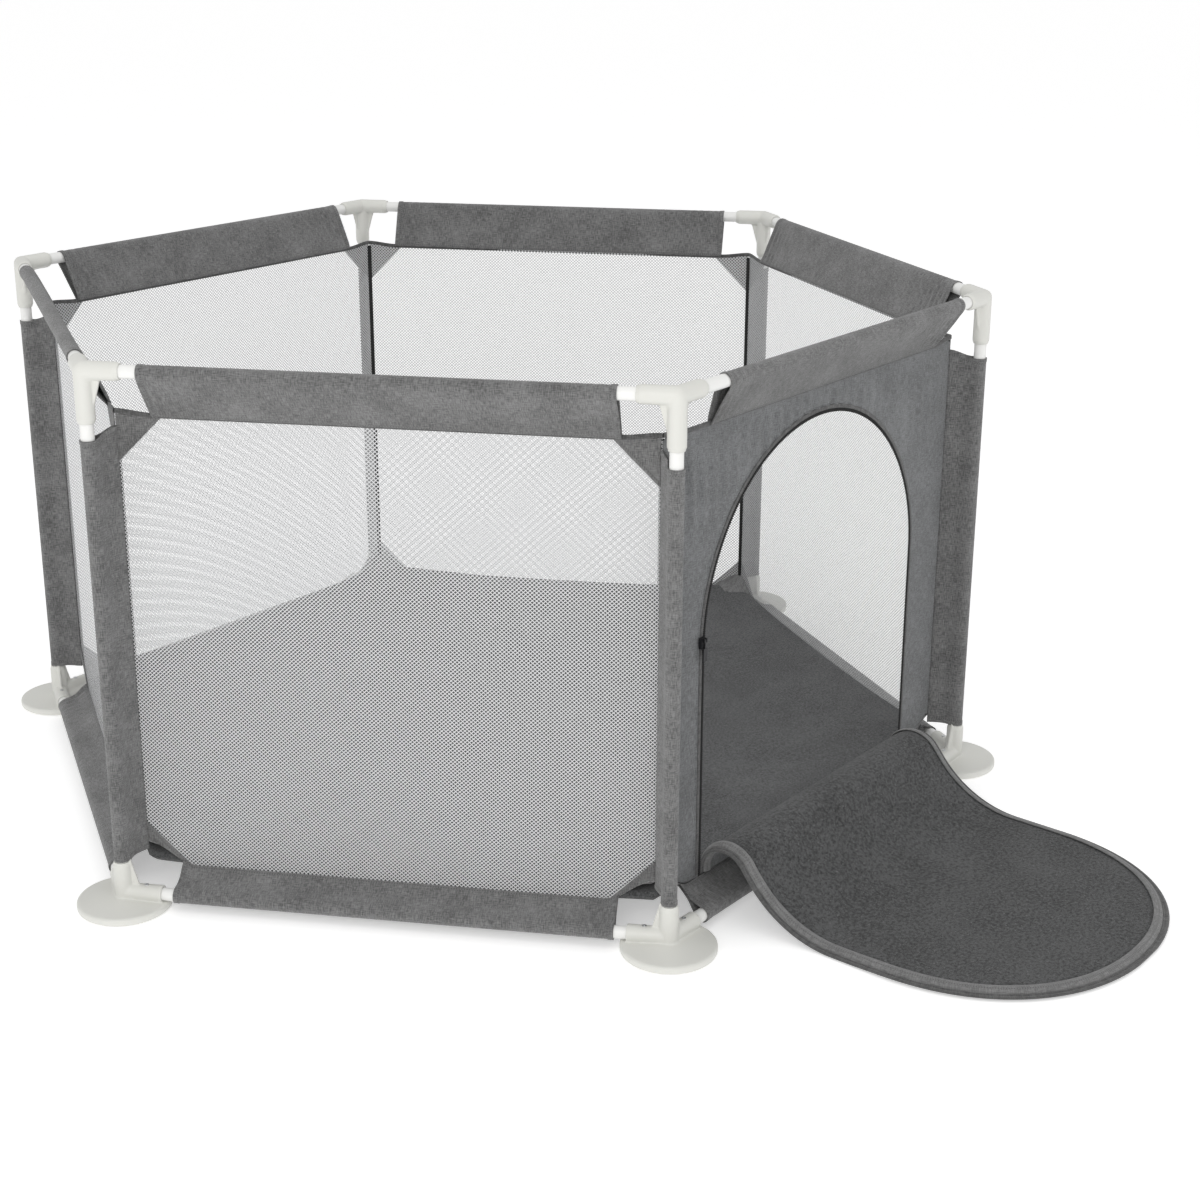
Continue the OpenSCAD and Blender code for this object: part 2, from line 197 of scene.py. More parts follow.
class Paint:
    # A material whose constants sit on the shader and whose patterns are wires.
    def __init__(self, name, **constants):
        self.material = bpy.data.materials.new(name)
        self.material.use_nodes = True
        self.tree = self.material.node_tree
        self.shader = self.tree.nodes["Principled BSDF"]
        for words, value in constants.items():
            self.shader.inputs[words.replace("_", " ")].default_value = value

    def node(self, kind, settings=None, values=None, out=0):
        made = self.tree.nodes.new(kind)
        for key, value in (settings or {}).items():
            setattr(made, key, value)
        for key, value in (values or {}).items():
            if isinstance(value, Wire):
                self.tree.links.new(value.socket, made.inputs[key])
            else:
                made.inputs[key].default_value = value
        return Wire(self, made.outputs[out])

    def drive(self, name, wire):
        self.tree.links.new(wire.socket, self.shader.inputs[name])

    def place(self):
        return self.node("ShaderNodeTexCoord", out="Object")

    def uv(self, layer="UVMap"):
        # The two values of a piece's UV map, in metres. The layer "seam" is (distance from a sewn edge, run).
        flat = self.node("ShaderNodeUVMap", {"uv_map": layer})
        parts = self.tree.nodes.new("ShaderNodeSeparateXYZ")
        self.tree.links.new(flat.socket, parts.inputs[0])
        return Wire(self, parts.outputs[0]), Wire(self, parts.outputs[1])

    def vector(self, x, y, z=0.0):
        return self.node("ShaderNodeCombineXYZ", None, {0: x, 1: y, 2: z})

    def noise(self, at, scale, detail=2.0, rough=0.5):
        return self.node("ShaderNodeTexNoise", None,
                         {"Vector": at, "Scale": scale, "Detail": detail, "Roughness": rough})

    def mixColour(self, share, dark, light):
        return self.node("ShaderNodeMix", {"data_type": "RGBA"},
                         {0: share, 6: dark, 7: light}, out=2)

    def bump(self, height, strength, distance):
        self.drive("Normal", self.node("ShaderNodeBump", None,
                                       {"Height": height, "Strength": strength, "Distance": distance}))


def grey(value, warm=0.0):
    # A grey with a little warmth (or, below zero, a little blue).
    return (value * (1 + warm), value, value * (1 - warm), 1)


stitchLook = {"at": 0.0062, "wide": 0.0011, "pitch": 0.0032, "long": 0.7}


def stitches(p, look):
    # Two values along a line at a set distance inside every sewn edge: 1 on the line, and 1 on its stitches.
    away, run = p.uv("seam")
    onLine = 1 - abs(away - look["at"]).between(look["wide"] * 0.5, look["wide"])
    fromMiddle = abs((run / look["pitch"]).fraction() - 0.5)
    onDash = 1 - fromMiddle.between(look["long"] * 0.45, look["long"] * 0.6)
    return onLine, onLine * onDash


linenLook = {
    "fine": 1000, "long": 110, "cloud": 22, "weave": 0.0011, "low": 0.37, "high": 0.64,
    "bump": 0.55, "depth": 0.0006,
}


def linenPaint(name, dark, light, warm=0.0):
    # Melange linen: short light and dark threads both ways, a fine weave, and rows of stitches, with painted
    # shade darkening the groove along each stitch line.
    look = linenLook
    p = Paint(name, Roughness=0.92, Sheen_Weight=0.25, Sheen_Roughness=0.6, Specular_IOR_Level=0.15)
    u, v = p.uv()
    warp = p.noise(p.vector(u * look["fine"], v * look["long"]), 1.0, 2.0, 0.6)
    weft = p.noise(p.vector(u * look["long"], v * look["fine"], 7.0), 1.0, 2.0, 0.6)
    cloud = p.noise(p.vector(u * look["cloud"], v * look["cloud"], 3.0), 1.0, 3.0, 0.6)
    thread = (warp * 0.46 + weft * 0.42 + cloud * 0.22 - 0.05).between(look["low"], look["high"])
    grooveAndShade, sewn = stitches(p, stitchLook)
    colour = p.mixColour(thread, grey(dark, warm), grey(light, warm))
    # Painted shade: the stitch line's groove is darkened to 0.45 of the dark thread as if it lay in shadow;
    # the bump below also dents it.
    colour = p.mixColour(grooveAndShade * 0.8, colour, grey(dark * 0.45, warm))
    colour = p.mixColour(sewn * 0.7, colour, grey(light * 0.9, warm))
    p.drive("Base Color", colour)
    turn = 2 * math.pi / look["weave"]
    weave = (u * turn).sine() * (v * turn).sine()
    p.bump(weave * 0.25 + warp * 0.6 + weft * 0.6 - grooveAndShade * 1.5 + sewn, look["bump"], look["depth"])
    return p.material


def meshPaint(name, look):
    # White net: staggered rounded diamonds are cut out of it, and the thread is a little ribbed.
    p = Paint(name, Roughness=0.75, Base_Color=look["thread"])
    u, v = p.uv()

    def hole(shift):
        across = abs((u / look["pitch"] + shift).fraction() - 0.5) * look["pitch"]
        up = abs((v / look["row"] + shift).fraction() - 0.5) * look["row"]
        return across / look["holeWide"] + up / look["holeHigh"]

    first, second = hole(0.0), hole(0.5)
    nearest = first.math("MINIMUM", first, second)
    p.drive("Alpha", nearest.between(0.86, 1.06))
    p.bump(nearest.between(0.9, 1.6), 0.5, 0.0004)
    return p.material


feltLook = {
    "fibres": 3.1, "flecks": 1.7, "cloud": 14.0, "low": 0.36, "high": 0.62, "bump": 0.6, "depth": 0.0018,
}


def feltPaint(name, dark, light, speck):
    # Brushed cloth: tufts and finer fibres together, a few pale flecks, and a soft nap.
    look = feltLook
    p = Paint(name, Roughness=0.96, Sheen_Weight=0.15, Sheen_Roughness=0.7, Specular_IOR_Level=0.1)
    at = p.place()
    tufts = p.noise(at, speck, 3.0, 0.65)
    fibres = p.noise(at, speck * look["fibres"], 3.0, 0.7)
    cloud = p.noise(at, look["cloud"], 2.0, 0.5)
    flecks = p.noise(at, speck * look["flecks"], 1.0, 0.5).between(0.66, 0.74)
    mottle = (tufts * 0.6 + fibres * 0.45 + cloud * 0.16 - 0.1).between(look["low"], look["high"])
    colour = p.mixColour(mottle, grey(dark, -0.02), grey(light, -0.02))
    p.drive("Base Color", p.mixColour(flecks * 0.6, colour, grey(light * 2.1)))
    p.bump(tufts * 0.6 + fibres * 0.5, look["bump"], look["depth"])
    return p.material


def plasticPaint(name, look):
    # Moulded plastic: an even colour with the faintest clouding, and a fine grain in the gloss.
    p = Paint(name)
    at = p.place()
    cloud = p.noise(at, look["cloudScale"], 2.0)
    grain = p.noise(at, 1400.0, 2.0)
    p.drive("Base Color", p.mixColour(cloud, look["dark"], look["light"]))
    p.drive("Roughness", cloud * 0.1 + look["rough"])
    p.bump(grain, look["grain"], 0.0002)
    return p.material


def wovenTapePaint(name, colour, pitch):
    # Narrow tape with ribs across it, one every pitch along u.
    p = Paint(name, Roughness=0.85)
    u, v = p.uv()
    fleck = p.noise(p.vector(u * 900, v * 300), 1.0, 2.0)
    p.drive("Base Color", p.mixColour(fleck, grey(colour * 0.6), grey(colour * 1.6)))
    p.bump((u * (2 * math.pi / pitch)).sine(), 0.5, 0.0004)
    return p.material


def plainPaint(name, colour, **constants):
    # One colour with faint flecks.
    p = Paint(name, **constants)
    fleck = p.noise(p.place(), 260.0, 2.0)
    low = tuple(c * 0.9 for c in colour) + (1,)
    high = tuple(min(1.0, c * 1.08) for c in colour) + (1,)
    p.drive("Base Color", p.mixColour(fleck, low, high))
    return p.material


# ---------- meshes from grids ----------

weldReach = 0.00002


def gridFaces(rows, cols):
    # Quads of an open grid whose vertices run row by row.
    r, c = np.meshgrid(np.arange(rows - 1), np.arange(cols - 1), indexing="ij")
    a = (r * cols + c).ravel()
    return np.stack([a, a + 1, a + cols + 1, a + cols], axis=1)


def makePiece(name, grids, material, body="pen", thick=None):
    # Each grid is (points, uv) or (points, uv, seam), all shaped (rows, cols, ...), with seam the distance
    # from a sewn edge and the run along it. They become one mesh, welded where they meet. A list of
    # materials gives each grid its own.
    paints = material if isinstance(material, list) else [material]
    points, uvs, seams, faces, kinds, start = [], [], [], [], [], 0
    for grid, uv, *seam in grids:
        rows, cols = grid.shape[:2]
        points.append(grid.reshape(-1, 3))
        uvs.append(uv.reshape(-1, 2))
        seams.append(seam[0].reshape(-1, 2) if seam else np.ones((rows * cols, 2)))
        faces.append(gridFaces(rows, cols) + start)
        kinds.append(np.full(len(faces[-1]), min(len(kinds), len(paints) - 1), dtype=np.int32))
        start += rows * cols
    points, uvs, seams, faces = (np.concatenate(part) for part in (points, uvs, seams, faces))
    data = bpy.data.meshes.new(name)
    data.from_pydata(points.tolist(), [], faces.tolist())
    corners = np.empty(len(data.loops), dtype=np.int32)
    data.loops.foreach_get("vertex_index", corners)
    for layerName, values in (("UVMap", uvs), ("seam", seams)):
        layer = data.uv_layers.new(name=layerName)
        layer.data.foreach_set("uv", values[corners].astype(np.float32).ravel())
    data.polygons.foreach_set("use_smooth", np.ones(len(data.polygons), dtype=bool))
    for paint in paints:
        data.materials.append(paint)
    data.polygons.foreach_set("material_index", np.concatenate(kinds))
    piece = bpy.data.objects.new(name, data)
    bpy.context.scene.collection.objects.link(piece)
    work = bmesh.new()
    work.from_mesh(data)
    bmesh.ops.remove_doubles(work, verts=work.verts, dist=weldReach)
    work.to_mesh(data)
    work.free()
    if thick:
        shell = piece.modifiers.new("thickness", "SOLIDIFY")
        shell.thickness = thick
        shell.offset = 0.0
    if body:
        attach(piece, body)
    return piece


def spread(n, crowd):
    # n values from 0 to 1, crowded towards both ends as crowd rises to 1.
    t = np.linspace(0, 1, n)
    return (1 - crowd) * t + crowd * (1 - np.cos(math.pi * t)) / 2


def step(x, low, high):
    # 0 below low, 1 above high, and 3 t^2 - 2 t^3 between them.
    t = np.clip((x - low) / (high - low), 0, 1)
    return t * t * (3 - 2 * t)


rippleWeight = 2.08


def ripple(a, b, seed):
    # A smooth, repeatable unevenness: four sines at odd angles with the weights 1, 1/2, 1/3 and 1/4, each
    # finer than the last, divided by their whole weight to run from -1 to 1.
    total = 0
    for k in range(4):
        angle = seed * 1.7 + k * 2.4
        size = 1 + 0.6 * k
        along = a * math.cos(angle) + b * math.sin(angle)
        total = total + np.sin(along * size + seed * (k + 1.3)) / (1 + k)
    return total / rippleWeight


def sweep(path, normal, wide, thick, sides, bulge):
    # A ribbon along path, with the section wide / 2 * cos(a)^bulge across it and thick / 2 * sin(a) along
    # normal. Returns points and uv.
    along = np.gradient(path, axis=0)
    along /= np.linalg.norm(along, axis=1, keepdims=True)
    normal = np.broadcast_to(normal, path.shape)
    across = np.cross(along, normal)
    across /= np.linalg.norm(across, axis=1, keepdims=True)
    up = np.cross(across, along)
    a = np.linspace(0, 2 * math.pi, sides + 1)
    c, s = np.cos(a), np.sin(a)
    shape = np.sign(c) * np.abs(c) ** bulge
    points = (path[:, None] + across[:, None] * (shape * wide / 2)[None, :, None]
              + up[:, None] * (s * thick / 2)[None, :, None])
    run = np.concatenate([[0], np.cumsum(np.linalg.norm(np.diff(path, axis=0), axis=1))])
    uv = np.stack(np.broadcast_arrays(run[:, None], (a * wide / 4)[None, :]), axis=-1)
    return points, uv


# ---------- paint for every slot ----------

linenStitched = linenPaint("linen", 0.075, 0.225)
doorLinen = linenPaint("linen door", 0.085, 0.215, -0.03)
tapeLinen = linenPaint("linen tape", 0.12, 0.24)
darkTape = linenPaint("dark tape", 0.05, 0.13)
floorCloth = linenPaint("floor cloth", 0.10, 0.24)
meshNet = meshPaint("mesh", {
    "thread": (0.66, 0.665, 0.675, 1), "pitch": 0.0051, "row": 0.0048,
    "holeWide": 0.0019, "holeHigh": 0.0017,
})
flapFelt = feltPaint("felt", 0.013, 0.088, 240.0)
matFelt = feltPaint("mat felt", 0.030, 0.115, 360.0)
blackTape = wovenTapePaint("black tape", 0.012, 0.0016)
foamPaint = plainPaint("foam", (0.55, 0.55, 0.52), Roughness=0.95)
ivoryPlastic = plasticPaint("ivory plastic", {
    "dark": (0.66, 0.66, 0.62, 1), "light": (0.71, 0.71, 0.675, 1),
    "cloudScale": 9.0, "rough": 0.36, "grain": 0.06,
})
whiteTube = plasticPaint("white tube", {
    "dark": (0.80, 0.80, 0.78, 1), "light": (0.85, 0.85, 0.84, 1),
    "cloudScale": 20.0, "rough": 0.30, "grain": 0.05,
})
rubberPad = plainPaint("rubber", (0.05, 0.05, 0.05), Roughness=0.8)
screwSteel = plainPaint("screw steel", (0.72, 0.73, 0.74), Roughness=0.35, Metallic=1.0)
zipMetal = plainPaint("zip slider", (0.03, 0.03, 0.033), Roughness=0.38, Metallic=0.6)


# ---------- plastic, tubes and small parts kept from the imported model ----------

def dress(names, material):
    # Gives the named parts of the frame one material.
    for name in names:
        thing = bpy.data.objects[name]
        thing.data.materials.clear()
        thing.data.materials.append(material)


mouldLook = {"voxel": 0.0011, "smooth": 0.5, "turns": 6}


def soften(names, look):
    # Moulded parts: the edges are rounded off by a fine remesh and a little smoothing.
    for name in names:
        thing = bpy.data.objects[name]
        weld = thing.modifiers.new("weld", "WELD")
        weld.merge_threshold = weldReach
        mesh = thing.modifiers.new("remesh", "REMESH")
        mesh.mode = "VOXEL"
        mesh.voxel_size = look["voxel"]
        mesh.use_smooth_shade = True
        calm = thing.modifiers.new("smooth", "SMOOTH")
        calm.factor = look["smooth"]
        calm.iterations = look["turns"]


moulded = [f"foot_{c}" for c in cornerNames] + [f"corner_{c}" for c in cornerNames]
dress(moulded, ivoryPlastic)
dress([f"post_{c}" for c in cornerNames], whiteTube)
dress([f"{k}_rail_{s}" for k in ("top", "bottom") for s in sideNames], whiteTube)
dress(["foot_screws"], screwSteel)
dress(["foot_grip_pads"], rubberPad)
dress(["mat_foam_boards"], foamPaint)
dress(["zip_slider", "zip_pull"], zipMetal)
soften(moulded, mouldLook)
print("frame dressed")


# ---------- cloth sleeves ----------

hemLook = {"low": 0.040, "high": 0.071, "run": 0.065}


def hem(x):
    # Height of the enclosure's bottom hem along a side: low, then a smooth step up to the corner.
    rise = step(np.abs(x), wallHalf - hemLook["run"], wallHalf)
    return hemLook["low"] + (hemLook["high"] - hemLook["low"]) * rise


def resample(path, n):
    # n points evenly spaced along path, with the run to each.
    run = np.concatenate([[0], np.cumsum(np.linalg.norm(np.diff(path, axis=0), axis=1))])
    at = np.linspace(0, run[-1], n)
    return np.stack([np.interp(at, run, path[:, k]) for k in range(path.shape[1])], axis=-1), at


def loopProfile(radius, pinch, reach, half, n):
    # Cloth round a tube at the origin whose two layers close to half apart at x = pinch and run on to reach.
    lean = math.asin((radius - half) / pinch)
    a = np.linspace(math.pi / 2 - lean, 3 * math.pi / 2 + lean, 60)
    arc = np.stack([radius * np.cos(a), radius * np.sin(a)], axis=-1)
    ends = [[reach, half]] if reach > pinch else []
    path = np.array(ends + [[pinch, half]] + arc.tolist() + [[pinch, -half]] + [[reach, -half]] * len(ends))
    path, run = resample(path, n)
    kernel = np.array([1, 2, 3, 2, 1]) / 9
    for _ in range(2):
        padded = np.pad(path, ((2, 2), (0, 0)), "edge")
        soft = np.stack([np.convolve(padded[:, k], kernel, "valid") for k in (0, 1)], axis=-1)
        path[2:-2] = soft[2:-2]
    along = np.gradient(path, axis=0)
    along /= np.linalg.norm(along, axis=1, keepdims=True)
    normal = np.stack([along[:, 1], -along[:, 0]], axis=-1)
    return path, normal, run


sleeveLook = {
    "radius": tubeRadius + 0.0012, "thick": 0.0012, "hemWide": 0.0065, "hemLift": 0.0007,
    "sag": 0.0012, "crease": 0.0011, "creasePitch": 0.0125, "creaseReach": 0.055,
    "trim": 0.004, "doorTrim": 0.026, "doorSlant": 0.020, "seamStitch": 0.0035,
}
# The rail's height, the height of the seam below or above it, where the two layers meet, and half their gap.
topRail = {"z": topRailZ, "seamZ": wallTop - 0.002, "pinch": None, "half": 0.0016}
lowRail = {"z": lowRailZ, "seamZ": hemLook["low"] + 0.001, "pinch": 0.022, "half": 0.0012}


def railSleeve(name, i, rail, look, node):
    # Cloth folded over a rail. The surface is the profile swept along x, moved out by
    # sag * ripple + crease * exp(-d / reach) * sin(2 pi x / pitch) + lift where d < hem,
    # with d the distance to the end.
    isTop = rail is topRail
    atDoor = isTop and i == 0
    down = np.array([railDistance - wallDistance, rail["seamZ"] - rail["z"]])
    reach = np.linalg.norm(down)
    path, normal, run = loopProfile(look["radius"], rail["pinch"] or reach, reach, rail["half"], 64)
    toSeam = down / reach
    side = np.array([-toSeam[1], toSeam[0]])
    low = -sleeveHalf + (look["doorTrim"] if atDoor else look["trim"])
    high = sleeveHalf - look["trim"]
    x = low + (high - low) * spread(150, 0.5)
    ends = np.minimum(x - low, high - x)
    free = step(path[:, 0], 0.0, reach * 0.3) * (1 - step(path[:, 0], reach * 0.85, reach))
    web = free[:, None]
    waver = 1.5 * ripple(x[None] * 20, run[:, None] * 30, i + 3)
    out = (look["sag"] * web * ripple(x[None] * 38, run[:, None] * 16, i + 1)
           + look["crease"] * (web + 0.15) * np.exp(-ends / look["creaseReach"])[None]
           * np.sin(2 * math.pi * x / look["creasePitch"] + waver)
           + look["hemLift"] * (ends < look["hemWide"])[None] * (1 - web * 0.4))
    flat = path[:, None] + normal[:, None] * out[..., None]
    y = -railDistance + flat[..., 0] * toSeam[0] + flat[..., 1] * side[0]
    z = rail["z"] + flat[..., 0] * toSeam[1] + flat[..., 1] * side[1]
    if not isTop:
        z = z + (hem(x) - hemLook["low"])[None] * step(flat[..., 0], 0.25 * reach, reach)
    slant = look["doorSlant"] if atDoor else 0.0
    cut = slant * (path[:, 0] / reach)[:, None] * ((high - x) / (high - low))[None]
    points = np.stack([x[None] + cut, y, z], axis=-1)
    uv = np.stack(np.broadcast_arrays(x[None], run[:, None]), axis=-1)
    dSeam = np.minimum(run, run[-1] - run)[:, None]
    dEnd = np.broadcast_to(ends[None], y.shape)
    byEnd = np.stack(np.broadcast_arrays(dEnd, run[:, None]), axis=-1)
    bySeam = np.stack(np.broadcast_arrays(dSeam + look["seamStitch"], x[None]), axis=-1)
    seam = np.where((dEnd < dSeam)[..., None], byEnd, bySeam)
    piece = makePiece(name, [(onSide(points, i), uv, seam)], linenStitched, thick=look["thick"])
    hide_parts(node)


for i, s in enumerate(sideNames):
    railSleeve(f"topSleeve_{s}", i, topRail, sleeveLook, f"top_sleeve_{s}")
    railSleeve(f"lowSleeve_{s}", i, lowRail, sleeveLook, f"bottom_sleeve_{s}")
print("rail sleeves")


postSleeveLook = {
    "radius": tubeRadius + 0.0012, "pinch": 0.018, "half": 0.0011, "slant": 0.009, "slantFrom": 0.004,
    "thick": 0.0012, "sag": 0.0009, "hemWide": 0.005, "hemLift": 0.0006,
}


def postSleeves(look):
    # Cloth round each post and on to the corner seam, moved out by sag * ripple, and by the hem's lift where
    # it is nearer to an end than the hem's width.
    made = []
    path, normal, run = loopProfile(look["radius"], look["pinch"], seamInset, look["half"], 56)
    low, high = postSleeveZ
    share = spread(120, 0.6)
    top = high - look["slant"] + look["slant"] * step(path[:, 0], look["slantFrom"], seamInset)
    z = low + (top[:, None] - low) * share[None]
    dEnd = np.minimum(z - low, top[:, None] - z)
    web = step(path[:, 0], 0.0, 0.3 * seamInset)[:, None]
    web = web * (1 - step(path[:, 0], 0.8 * seamInset, seamInset)[:, None])
    for i in range(6):
        sag = look["sag"] * web * ripple(z * 22, run[:, None] * 30, i + 11)
        out = sag + look["hemLift"] * (dEnd < look["hemWide"])
        flat = path[:, None] + normal[:, None] * out[..., None]
        points = np.stack([-flat[..., 0], flat[..., 1], z], axis=-1)
        uv = np.stack(np.broadcast_arrays(run[:, None], z), axis=-1)
        seam = np.stack(np.broadcast_arrays(dEnd, run[:, None]), axis=-1)
        made.append((onCorner(points, i), uv, seam))
    piece = makePiece("postSleeves", made, linenStitched, thick=look["thick"])
    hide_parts("post_sleeves")


postSleeves(postSleeveLook)
print("post sleeves")


# ---------- walls ----------

wallLook = {"bow": 0.0016}


def wallY(x, z, seed):
    # Distance of a wall from the pen's middle: flat, less bow * ripple that dies out at the side seams.
    calm = 1 - (np.abs(x) / wallHalf) ** 6
    return -wallDistance + wallLook["bow"] * calm * ripple(x * 12, z * 9, seed)


def meshPanel(i):
    # A single net, from the hem's curve up to the binding: y = wallY(x, z).
    x = wallHalf * np.linspace(-1, 1, 90)
    q = np.linspace(0, 1, 70)[:, None]
    z = hem(x)[None] + (wallTop - hem(x)[None]) * q
    points = np.stack([np.broadcast_to(x[None], z.shape), wallY(x[None], z, i), z], axis=-1)
    uv = np.stack([points[..., 0], z], axis=-1)
    piece = makePiece(f"mesh_{sideNames[i]}", [(onSide(points, i), uv)], meshNet)
    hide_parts(f"mesh_panel_{sideNames[i]}")


for i in range(1, 6):
    meshPanel(i)


bindingLook = {
    "tall": 0.0062, "thick": 0.0022, "rise": 0.004, "riseFrom": 0.86, "proud": 0.001, "bulge": 0.6,
}


def topBinding(look):
    # The tape folded over the enclosure's top edge: an oval section along
    # z = top - tall / 4 + rise * step(|x|), with the step in the last part before each corner.
    made = []
    x = np.linspace(-1, 1, 120) * wallHalf
    z = wallTop - look["tall"] * 0.25
    z = z + look["rise"] * step(np.abs(x), wallHalf * look["riseFrom"], wallHalf)
    path = np.stack([x, np.full_like(x, -wallDistance - look["proud"]), z], axis=-1)
    points, uv = sweep(path, np.array([0.0, -1.0, 0.0]), look["tall"], look["thick"], 12, look["bulge"])
    for i in range(6):
        made.append((onSide(points, i), uv))
    return makePiece("topBinding", made, darkTape)


tapeLook = {"wide": 0.0060, "thick": 0.0012, "proud": 0.0022, "bulge": 0.6}


def cornerTapes(look):
    # A black tape inside each corner seam: an oval section along the upright line from hem to binding.
    made = []
    z = np.linspace(hemLook["high"], topRail["seamZ"], 60)
    path = np.stack([np.full_like(z, -seamInset - look["proud"]), 0 * z, z], axis=-1)
    points, uv = sweep(path, np.array([1.0, 0.0, 0.0]), look["wide"], look["thick"], 8, look["bulge"])
    for i in range(6):
        made.append((onCorner(points, i), uv))
    return makePiece("cornerTapes", made, blackTape)


gussetLook = {
    "leg": 0.058, "thick": 0.0008, "proud": 0.0012, "margin": 0.001, "stitch": 0.0025,
    "longEdge": 1.4, "areaShare": 0.42,
}


def gussets(look, tapes):
    # A linen triangle in every mesh corner, a little proud of the net: y = wallY(x, z) - proud, with the long
    # edge running straight from leg along the seam to leg along the hem or the binding.
    made = []
    leg = look["leg"]
    t = np.linspace(0, 1, 22)[:, None]
    s = np.linspace(0, 1, 24)[None]
    across = wallHalf - look["margin"] - leg * s
    for i in range(1, 6):
        for sx in (-1, 1):
            for up in (-1, 1):
                edge = hemLook["low"] + leg * (1 - s) if up < 0 else wallTop - leg * (1 - s)
                base = hem(across) + look["margin"] if up < 0 else wallTop - look["margin"]
                z = base + (edge - base) * t
                x = sx * across + 0 * z
                points = np.stack([x, wallY(x, z, i) - look["proud"], z], axis=-1)
                uv = np.stack([x, z], axis=-1)
                away = np.abs(edge - z) / math.sqrt(2)
                seam = np.stack([away + look["stitch"], s * leg * look["longEdge"] + 0 * z], axis=-1)
                made.append((onSide(points, i), uv, seam))
    piece = makePiece("gussets", made, linenStitched, thick=look["thick"])
    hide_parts("corner_gussets")


gussets(gussetLook, [topBinding(bindingLook), cornerTapes(tapeLook)])
print("mesh walls")


doorLook = {
    "archRadius": 0.2335, "archZ": 0.345, "sill": 0.044, "zipFoot": 0.004,
    "crease": 0.0016, "creasePitch": 0.021, "creaseFrom": 0.1, "creaseTo": 0.03, "waver": 1.6,
    "thick": 0.0011, "hemWide": 0.008, "hemLift": 0.0008,
}


def archPath(radius, n, bottom):
    # Up the left leg, over the arch and down the right leg, evenly spaced, in the side's own x and z.
    a = np.linspace(math.pi, 0, 200)
    arc = np.stack([radius * np.cos(a), doorLook["archZ"] + radius * np.sin(a)], axis=-1)
    path = np.concatenate([[[-radius, bottom]], arc, [[radius, bottom]]])
    return resample(path, n)


# The tape and then the coil, beyond the arch's radius and lifted off the wall.
zipLook = [
    {"beyond": 0.0030, "wide": 0.0075, "thick": 0.0009, "lift": 0.0016, "steps": 300,
     "swell": 0, "tooth": 1},
    {"beyond": -0.0005, "wide": 0.0034, "thick": 0.0018, "lift": 0.0022, "steps": 2400,
     "swell": 0.35, "tooth": 0.0026},
]


def zipTrack(look, door):
    # A flat dark tape round the arch with a ribbed black coil on it: oval sections along the arch, made
    # 1 + swell * sin(2 pi run / tooth) times as large.
    made = []
    for part in look:
        foot = door["sill"] + door["zipFoot"]
        flat, run = archPath(door["archRadius"] + part["beyond"], part["steps"], foot)
        y = wallY(flat[:, 0], flat[:, 1], 0) - part["lift"]
        path = np.stack([flat[:, 0], y, flat[:, 1]], axis=-1)
        swell = 1 + part["swell"] * np.sin(2 * math.pi * run / part["tooth"])
        points, uv = sweep(path, np.array([0.0, -1.0, 0.0]), part["wide"], part["thick"], 8, 0.5)
        points = path[:, None] + (points - path[:, None]) * swell[:, None, None]
        made.append((onSide(points, 0), uv))
    piece = makePiece("zipTrack", made, [darkTape, blackTape])
    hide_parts("zip_track")
    return piece


def doorPanel(look, track):
    # Linen between the arch and the wall's outline. Straight creases above the arch:
    # y = wallY + crease * sin(2 pi x / pitch + waver * ripple), strongest half way between arch and top,
    # less the hem's lift in a narrow band round the opening.
    inner, run = archPath(look["archRadius"], 260, look["sill"])
    onArch = inner[:, 1] > look["archZ"]
    centre = np.array([0, look["archZ"]])
    ray = inner - centre
    reachX = wallHalf / np.maximum(np.abs(ray[:, 0]), 1e-6)
    reachZ = (wallTop - look["archZ"]) / np.maximum(ray[:, 1], 1e-6)
    far = np.minimum(reachX, np.where(onArch, reachZ, 1e9))
    out = centre + ray * far[:, None]
    out[~onArch] = np.stack([np.sign(inner[~onArch, 0]) * wallHalf, inner[~onArch, 1]], axis=-1)
    k = spread(44, 0.35)[None]
    x = inner[:, 0, None] + (out[:, 0] - inner[:, 0])[:, None] * k
    z = inner[:, 1, None] + (out[:, 1] - inner[:, 1])[:, None] * k
    legShare = np.clip((look["archZ"] - inner[:, 1]) / (look["archZ"] - look["sill"]), 0, 1)[:, None]
    z = z + legShare * (hem(x) - hemLook["low"])
    above = step(z, look["archZ"] + look["creaseFrom"], wallTop - look["creaseTo"]) * np.sin(math.pi * k)
    waver = look["waver"] * ripple(x * 14, z * 10, 5)
    fromArch = k * np.hypot(*(out - inner).T)[:, None]
    y = wallY(x, z, 0) + look["crease"] * above * np.sin(2 * math.pi * x / look["creasePitch"] + waver)
    y = y - look["hemLift"] * (fromArch < look["hemWide"])
    points = np.stack([x, y, z], axis=-1)
    uv = np.stack([x, z], axis=-1)
    seam = np.stack([fromArch, run[:, None] + 0 * k], axis=-1)
    piece = makePiece("doorPanel", [(onSide(points, 0), uv, seam)], doorLinen, thick=look["thick"])
    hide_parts("door_panel")
    hole = math.pi * look["archRadius"] ** 2 / 2 + 2 * look["archRadius"] * (look["archZ"] - look["sill"])
    whole = 2 * wallHalf * (wallTop - look["sill"])
    float(whole - hole)


doorPanel(doorLook, zipTrack(zipLook, doorLook))
print("door wall")


# ---------- floor ----------

matLook = {
    "fold": 0.273, "dent": 0.0024, "dentWide": 0.0040, "crown": 0.003, "crownReach": 0.06, "edge": 0.006,
    "ripple": 0.0007, "rippleReach": 0.03, "lift": 0.010, "liftFrom": 0.97,
}


